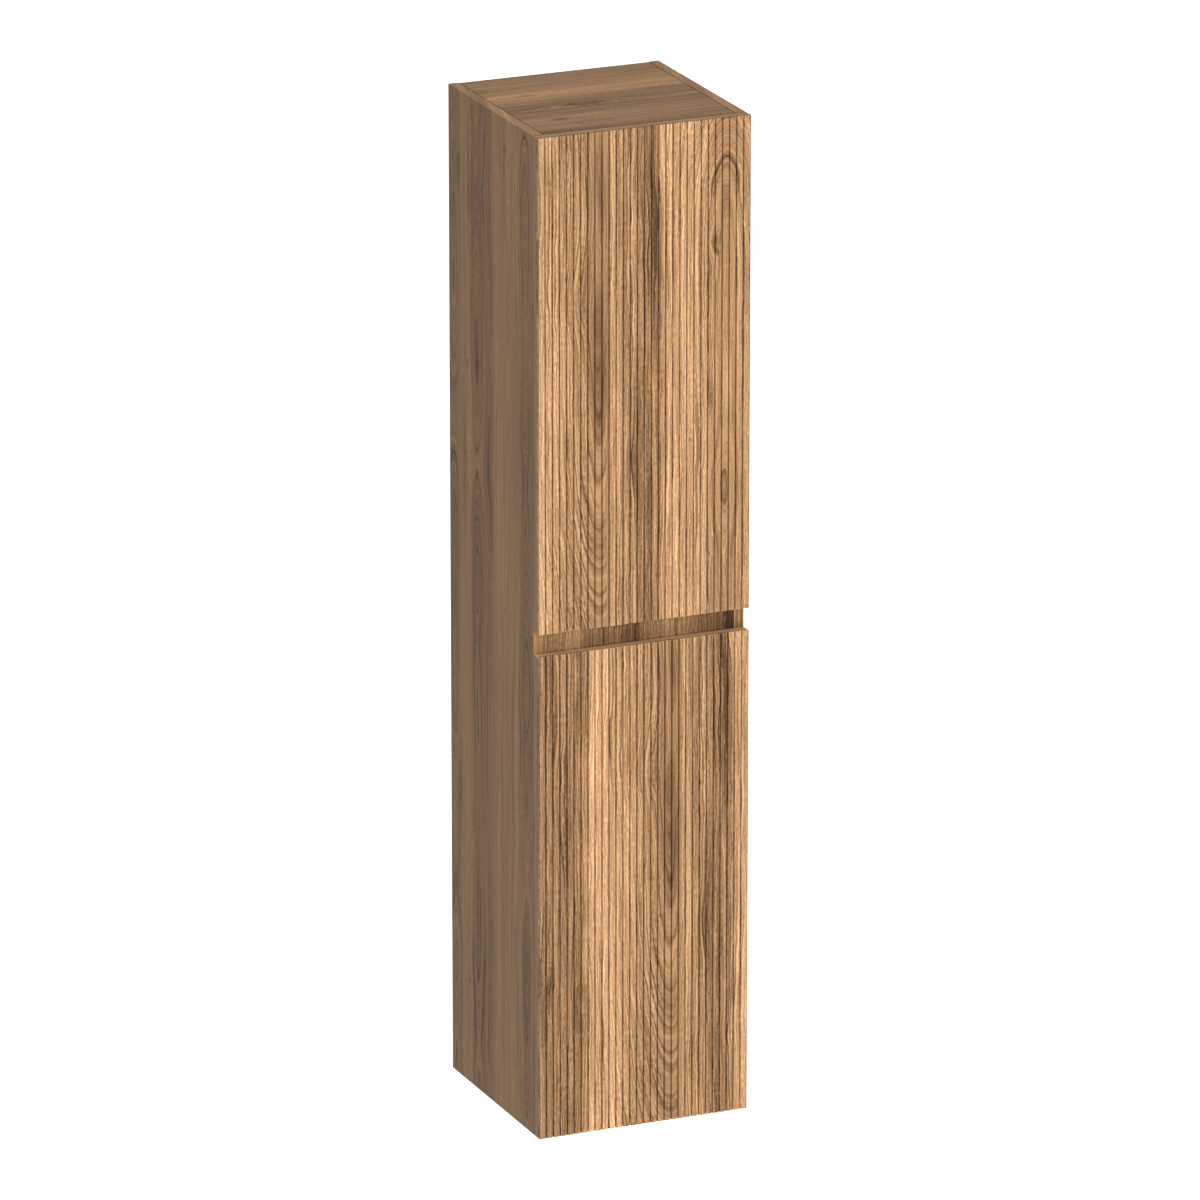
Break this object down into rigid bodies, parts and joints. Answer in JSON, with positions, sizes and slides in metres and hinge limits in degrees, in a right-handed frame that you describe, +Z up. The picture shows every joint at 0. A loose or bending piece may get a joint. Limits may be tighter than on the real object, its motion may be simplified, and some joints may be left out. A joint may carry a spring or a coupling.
{
  "type": "ribbed door column cabinet",
  "caption": "Tall slim wall-hung cabinet in streaky brown wood, with ribbed doors one above the other, a finger gap between them and shelves inside.",
  "frame": {"origin": "centre of the wall plates' four screw holes, on the wall plane", "axes": "+X to the right seen from the front, +Y towards the wall, +Z up"},
  "size_m": [0.35, 0.35, 1.6],
  "materials": {
    "door_wood": "satin streaky brown wood decor, grain upright",
    "carcass_wood": "satin brown wood decor",
    "dowel_wood": "plain beech",
    "nickel_steel": "nickel plated",
    "zinc_steel": "zinc plated",
    "hanger_plastic": "fine matt",
    "clear_bumper": "translucent soft"
  },
  "bodies": {
    "carcass": {"side_panel_left": "carcass_wood", "side_panel_right": "carcass_wood", "top_panel": "carcass_wood", "bottom_panel": "carcass_wood", "lower_fixed_shelf": "carcass_wood", "upper_fixed_shelf": "carcass_wood", "grip_board": "carcass_wood", "back_panel": "carcass_wood", "lower_shelf_1": "carcass_wood", "lower_shelf_2": "carcass_wood", "upper_shelf_1": "carcass_wood", "upper_shelf_2": "carcass_wood", "lower_shelf_pins": "nickel_steel", "upper_shelf_pins": "nickel_steel", "carcass_dowels": "dowel_wood", "hanger_housing_left": "hanger_plastic", "hanger_housing_right": "hanger_plastic", "hanger_hook_left": "zinc_steel", "hanger_hook_right": "zinc_steel", "hanger_adjusting_screws": "zinc_steel", "wall_plate_left": "zinc_steel", "wall_plate_right": "zinc_steel", "lower_door_low_hinge_arm": "nickel_steel", "lower_door_low_hinge_plate": "nickel_steel", "lower_door_high_hinge_arm": "nickel_steel", "lower_door_high_hinge_plate": "nickel_steel", "upper_door_low_hinge_arm": "nickel_steel", "upper_door_low_hinge_plate": "nickel_steel", "upper_door_high_hinge_arm": "nickel_steel", "upper_door_high_hinge_plate": "nickel_steel", "hinge_arm_pivot_pins": "nickel_steel", "hinge_plate_screws": "nickel_steel", "hinge_arm_screws": "nickel_steel"},
    "lower_hinge_links": {"lower_door_low_hinge_link": "nickel_steel", "lower_door_high_hinge_link": "nickel_steel"},
    "lower_door": {"lower_door_board": "door_wood", "lower_door_face": "door_wood", "lower_door_bumpers": "clear_bumper", "lower_door_low_hinge_cup": "nickel_steel", "lower_door_high_hinge_cup": "nickel_steel", "lower_door_cup_screws": "nickel_steel", "lower_door_pivot_pins": "nickel_steel"},
    "upper_hinge_links": {"upper_door_low_hinge_link": "nickel_steel", "upper_door_high_hinge_link": "nickel_steel"},
    "upper_door": {"upper_door_board": "door_wood", "upper_door_face": "door_wood", "upper_door_bumpers": "clear_bumper", "upper_door_low_hinge_cup": "nickel_steel", "upper_door_high_hinge_cup": "nickel_steel", "upper_door_cup_screws": "nickel_steel", "upper_door_pivot_pins": "nickel_steel"}
  },
  "joints": [
    {"name": "lower_link_swing", "type": "hinge", "parent": "carcass", "child": "lower_hinge_links", "pos_m": [0.147, -0.3265, -1.139], "axis": [0, 0, 1], "range_deg": [-18.4, 0]},
    {"name": "lower_door_swing", "type": "hinge", "parent": "lower_hinge_links", "child": "lower_door", "pos_m": [0.167, -0.3395, -1.139], "axis": [0, 0, 1], "range_deg": [0, 110]},
    {"name": "upper_link_swing", "type": "hinge", "parent": "carcass", "child": "upper_hinge_links", "pos_m": [0.147, -0.3265, -0.321], "axis": [0, 0, 1], "range_deg": [-18.4, 0]},
    {"name": "upper_door_swing", "type": "hinge", "parent": "upper_hinge_links", "child": "upper_door", "pos_m": [0.167, -0.3395, -0.321], "axis": [0, 0, 1], "range_deg": [0, 110]}
  ],
  "couplings": [
    {"joint": "lower_link_swing", "follows": "lower_door_swing", "ratio": -0.16667},
    {"joint": "upper_link_swing", "follows": "upper_door_swing", "ratio": -0.16667}
  ]
}
